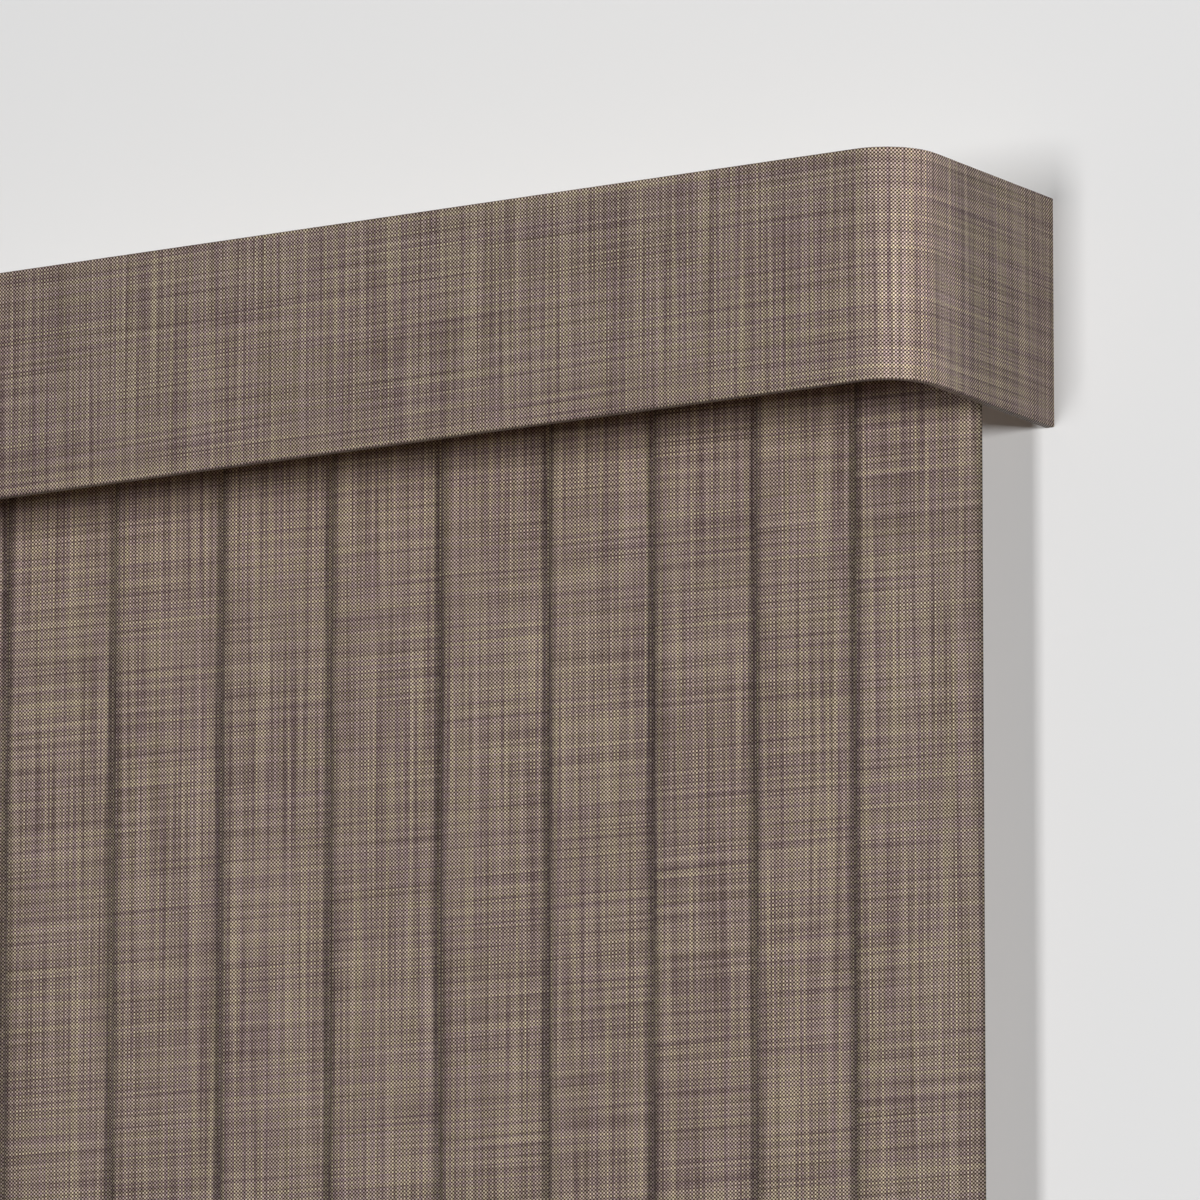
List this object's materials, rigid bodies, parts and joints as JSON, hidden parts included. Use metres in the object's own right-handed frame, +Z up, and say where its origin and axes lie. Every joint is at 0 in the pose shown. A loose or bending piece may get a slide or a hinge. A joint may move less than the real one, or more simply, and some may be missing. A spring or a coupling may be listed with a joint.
{
  "type": "vertical blind",
  "caption": "Wall-hung vertical blind with fabric vanes, a fabric-covered valance with round corners, a headrail with worm-driven carriers and a tilt wand.",
  "frame": {"origin": "middle of the wall bracket screw pattern, on the wall plane", "axes": "+X along the wall to the right as seen from the room, +Y into the wall, +Z up"},
  "size_m": [0.906, 0.185, 1.193],
  "materials": {
    "fabric": "matte woven taupe cloth",
    "valance_board": "bare bent board",
    "rail_alloy": "white coated extrusion",
    "rod_alloy": "mill finish extrusion",
    "zinc_steel": "zinc plated",
    "white_moulding": "moulded white",
    "acetal": "natural acetal",
    "clear_plastic": "polished clear"
  },
  "bodies": {
    "rail_frame": {"valance_board": "valance_board", "valance_cover": "fabric", "valance_clips": "zinc_steel", "headrail": "rail_alloy", "left_end_cap": "white_moulding", "right_end_cap": "white_moulding", "left_bracket": "zinc_steel", "right_bracket": "zinc_steel", "rail_clips": "zinc_steel", "clip_screws": "zinc_steel", "carrier_01": "white_moulding"},
    "tilt_rod": {"tilt_rod": "rod_alloy"},
    "carriage_02": {"carrier_02": "white_moulding"},
    "carriage_03": {"carrier_03": "white_moulding"},
    "carriage_04": {"carrier_04": "white_moulding"},
    "carriage_05": {"carrier_05": "white_moulding"},
    "carriage_06": {"carrier_06": "white_moulding"},
    "carriage_07": {"carrier_07": "white_moulding"},
    "carriage_08": {"carrier_08": "white_moulding"},
    "carriage_09": {"carrier_09": "white_moulding"},
    "carriage_10": {"carrier_10": "white_moulding", "wand_carriage": "white_moulding"},
    "hanging_vane_01": {"stem_01": "acetal", "vane_01": "fabric"},
    "worm_01": {"worm_01": "acetal"},
    "hanging_vane_02": {"stem_02": "acetal", "vane_02": "fabric"},
    "worm_02": {"worm_02": "acetal"},
    "hanging_vane_03": {"stem_03": "acetal", "vane_03": "fabric"},
    "worm_03": {"worm_03": "acetal"},
    "hanging_vane_04": {"stem_04": "acetal", "vane_04": "fabric"},
    "worm_04": {"worm_04": "acetal"},
    "hanging_vane_05": {"stem_05": "acetal", "vane_05": "fabric"},
    "worm_05": {"worm_05": "acetal"},
    "hanging_vane_06": {"stem_06": "acetal", "vane_06": "fabric"},
    "worm_06": {"worm_06": "acetal"},
    "hanging_vane_07": {"stem_07": "acetal", "vane_07": "fabric"},
    "worm_07": {"worm_07": "acetal"},
    "hanging_vane_08": {"stem_08": "acetal", "vane_08": "fabric"},
    "worm_08": {"worm_08": "acetal"},
    "hanging_vane_09": {"stem_09": "acetal", "vane_09": "fabric"},
    "worm_09": {"worm_09": "acetal"},
    "hanging_vane_10": {"stem_10": "acetal", "vane_10": "fabric"},
    "worm_10": {"worm_10": "acetal"},
    "drive_bevel": {"drive_bevel": "acetal"},
    "wand_stub": {"wand_bevel": "acetal"},
    "wand": {"link_pin": "zinc_steel", "wand": "clear_plastic", "wand_grip": "white_moulding"}
  },
  "joints": [
    {"name": "traverse", "type": "slide", "parent": "rail_frame", "child": "carriage_10", "axis": [1, 0, 0], "range_m": [0, 0.5995]},
    {"name": "traverse_02", "type": "slide", "parent": "rail_frame", "child": "carriage_02", "axis": [1, 0, 0], "range_m": [0, 0.0588]},
    {"name": "traverse_03", "type": "slide", "parent": "rail_frame", "child": "carriage_03", "axis": [1, 0, 0], "range_m": [0, 0.1204]},
    {"name": "traverse_04", "type": "slide", "parent": "rail_frame", "child": "carriage_04", "axis": [1, 0, 0], "range_m": [0, 0.1848]},
    {"name": "traverse_05", "type": "slide", "parent": "rail_frame", "child": "carriage_05", "axis": [1, 0, 0], "range_m": [0, 0.252]},
    {"name": "traverse_06", "type": "slide", "parent": "rail_frame", "child": "carriage_06", "axis": [1, 0, 0], "range_m": [0, 0.3215]},
    {"name": "traverse_07", "type": "slide", "parent": "rail_frame", "child": "carriage_07", "axis": [1, 0, 0], "range_m": [0, 0.391]},
    {"name": "traverse_08", "type": "slide", "parent": "rail_frame", "child": "carriage_08", "axis": [1, 0, 0], "range_m": [0, 0.4605]},
    {"name": "traverse_09", "type": "slide", "parent": "rail_frame", "child": "carriage_09", "axis": [1, 0, 0], "range_m": [0, 0.53]},
    {"name": "tilt", "type": "hinge", "parent": "rail_frame", "child": "hanging_vane_01", "pos_m": [0.3905, -0.0675, -0.0112], "axis": [0, 0, 1], "range_deg": [0, 160]},
    {"name": "worm_turn_01", "type": "hinge", "parent": "rail_frame", "child": "worm_01", "pos_m": [0.3905, -0.077, 0.0008], "axis": [1, 0, 0], "range_deg": [-1440, 0]},
    {"name": "tilt_02", "type": "hinge", "parent": "carriage_02", "child": "hanging_vane_02", "pos_m": [0.3157, -0.0675, -0.0112], "axis": [0, 0, 1], "range_deg": [0, 160]},
    {"name": "worm_turn_02", "type": "hinge", "parent": "carriage_02", "child": "worm_02", "pos_m": [0.3157, -0.077, 0.0008], "axis": [1, 0, 0], "range_deg": [-1440, 0]},
    {"name": "tilt_03", "type": "hinge", "parent": "carriage_03", "child": "hanging_vane_03", "pos_m": [0.2381, -0.0675, -0.0112], "axis": [0, 0, 1], "range_deg": [0, 160]},
    {"name": "worm_turn_03", "type": "hinge", "parent": "carriage_03", "child": "worm_03", "pos_m": [0.2381, -0.077, 0.0008], "axis": [1, 0, 0], "range_deg": [-1440, 0]},
    {"name": "tilt_04", "type": "hinge", "parent": "carriage_04", "child": "hanging_vane_04", "pos_m": [0.1577, -0.0675, -0.0112], "axis": [0, 0, 1], "range_deg": [0, 160]},
    {"name": "worm_turn_04", "type": "hinge", "parent": "carriage_04", "child": "worm_04", "pos_m": [0.1577, -0.077, 0.0008], "axis": [1, 0, 0], "range_deg": [-1440, 0]},
    {"name": "tilt_05", "type": "hinge", "parent": "carriage_05", "child": "hanging_vane_05", "pos_m": [0.0745, -0.0675, -0.0112], "axis": [0, 0, 1], "range_deg": [0, 160]},
    {"name": "worm_turn_05", "type": "hinge", "parent": "carriage_05", "child": "worm_05", "pos_m": [0.0745, -0.077, 0.0008], "axis": [1, 0, 0], "range_deg": [-1440, 0]},
    {"name": "tilt_06", "type": "hinge", "parent": "carriage_06", "child": "hanging_vane_06", "pos_m": [-0.011, -0.0675, -0.0112], "axis": [0, 0, 1], "range_deg": [0, 160]},
    {"name": "worm_turn_06", "type": "hinge", "parent": "carriage_06", "child": "worm_06", "pos_m": [-0.011, -0.077, 0.0008], "axis": [1, 0, 0], "range_deg": [-1440, 0]},
    {"name": "tilt_07", "type": "hinge", "parent": "carriage_07", "child": "hanging_vane_07", "pos_m": [-0.0965, -0.0675, -0.0112], "axis": [0, 0, 1], "range_deg": [0, 160]},
    {"name": "worm_turn_07", "type": "hinge", "parent": "carriage_07", "child": "worm_07", "pos_m": [-0.0965, -0.077, 0.0008], "axis": [1, 0, 0], "range_deg": [-1440, 0]},
    {"name": "tilt_08", "type": "hinge", "parent": "carriage_08", "child": "hanging_vane_08", "pos_m": [-0.182, -0.0675, -0.0112], "axis": [0, 0, 1], "range_deg": [0, 160]},
    {"name": "worm_turn_08", "type": "hinge", "parent": "carriage_08", "child": "worm_08", "pos_m": [-0.182, -0.077, 0.0008], "axis": [1, 0, 0], "range_deg": [-1440, 0]},
    {"name": "tilt_09", "type": "hinge", "parent": "carriage_09", "child": "hanging_vane_09", "pos_m": [-0.2675, -0.0675, -0.0112], "axis": [0, 0, 1], "range_deg": [0, 160]},
    {"name": "worm_turn_09", "type": "hinge", "parent": "carriage_09", "child": "worm_09", "pos_m": [-0.2675, -0.077, 0.0008], "axis": [1, 0, 0], "range_deg": [-1440, 0]},
    {"name": "tilt_10", "type": "hinge", "parent": "carriage_10", "child": "hanging_vane_10", "pos_m": [-0.353, -0.0675, -0.0112], "axis": [0, 0, 1], "range_deg": [0, 160]},
    {"name": "worm_turn_10", "type": "hinge", "parent": "carriage_10", "child": "worm_10", "pos_m": [-0.353, -0.077, 0.0008], "axis": [1, 0, 0], "range_deg": [-1440, 0]},
    {"name": "rod_turn", "type": "hinge", "parent": "rail_frame", "child": "tilt_rod", "pos_m": [0, -0.077, 0.0008], "axis": [1, 0, 0], "range_deg": [-1440, 0]},
    {"name": "drive_bevel_turn", "type": "hinge", "parent": "carriage_10", "child": "drive_bevel", "pos_m": [-0.409, -0.077, 0.0008], "axis": [1, 0, 0], "range_deg": [-1440, 0]},
    {"name": "wand_turn", "type": "hinge", "parent": "carriage_10", "child": "wand_stub", "pos_m": [-0.409, -0.077, 0.0008], "axis": [0, 0, 1], "range_deg": [0, 1440]},
    {"name": "wand_swing", "type": "hinge", "parent": "wand_stub", "child": "wand", "pos_m": [-0.409, -0.077, -0.0202], "axis": [-1, 0, 0], "range_deg": [-6, 35]}
  ],
  "couplings": [
    {"joint": "traverse_02", "follows": "traverse", "ratio": 0.098082},
    {"joint": "traverse_03", "follows": "traverse", "ratio": 0.20083},
    {"joint": "traverse_04", "follows": "traverse", "ratio": 0.30826},
    {"joint": "traverse_05", "follows": "traverse", "ratio": 0.42035},
    {"joint": "traverse_06", "follows": "traverse", "ratio": 0.53628},
    {"joint": "traverse_07", "follows": "traverse", "ratio": 0.65221},
    {"joint": "traverse_08", "follows": "traverse", "ratio": 0.76814},
    {"joint": "traverse_09", "follows": "traverse", "ratio": 0.88407},
    {"joint": "worm_turn_01", "follows": "tilt", "ratio": -9},
    {"joint": "tilt_02", "follows": "tilt", "ratio": 1},
    {"joint": "worm_turn_02", "follows": "tilt", "ratio": -9},
    {"joint": "tilt_03", "follows": "tilt", "ratio": 1},
    {"joint": "worm_turn_03", "follows": "tilt", "ratio": -9},
    {"joint": "tilt_04", "follows": "tilt", "ratio": 1},
    {"joint": "worm_turn_04", "follows": "tilt", "ratio": -9},
    {"joint": "tilt_05", "follows": "tilt", "ratio": 1},
    {"joint": "worm_turn_05", "follows": "tilt", "ratio": -9},
    {"joint": "tilt_06", "follows": "tilt", "ratio": 1},
    {"joint": "worm_turn_06", "follows": "tilt", "ratio": -9},
    {"joint": "tilt_07", "follows": "tilt", "ratio": 1},
    {"joint": "worm_turn_07", "follows": "tilt", "ratio": -9},
    {"joint": "tilt_08", "follows": "tilt", "ratio": 1},
    {"joint": "worm_turn_08", "follows": "tilt", "ratio": -9},
    {"joint": "tilt_09", "follows": "tilt", "ratio": 1},
    {"joint": "worm_turn_09", "follows": "tilt", "ratio": -9},
    {"joint": "tilt_10", "follows": "tilt", "ratio": 1},
    {"joint": "worm_turn_10", "follows": "tilt", "ratio": -9},
    {"joint": "rod_turn", "follows": "tilt", "ratio": -9},
    {"joint": "drive_bevel_turn", "follows": "tilt", "ratio": -9},
    {"joint": "wand_turn", "follows": "tilt", "ratio": 9}
  ]
}
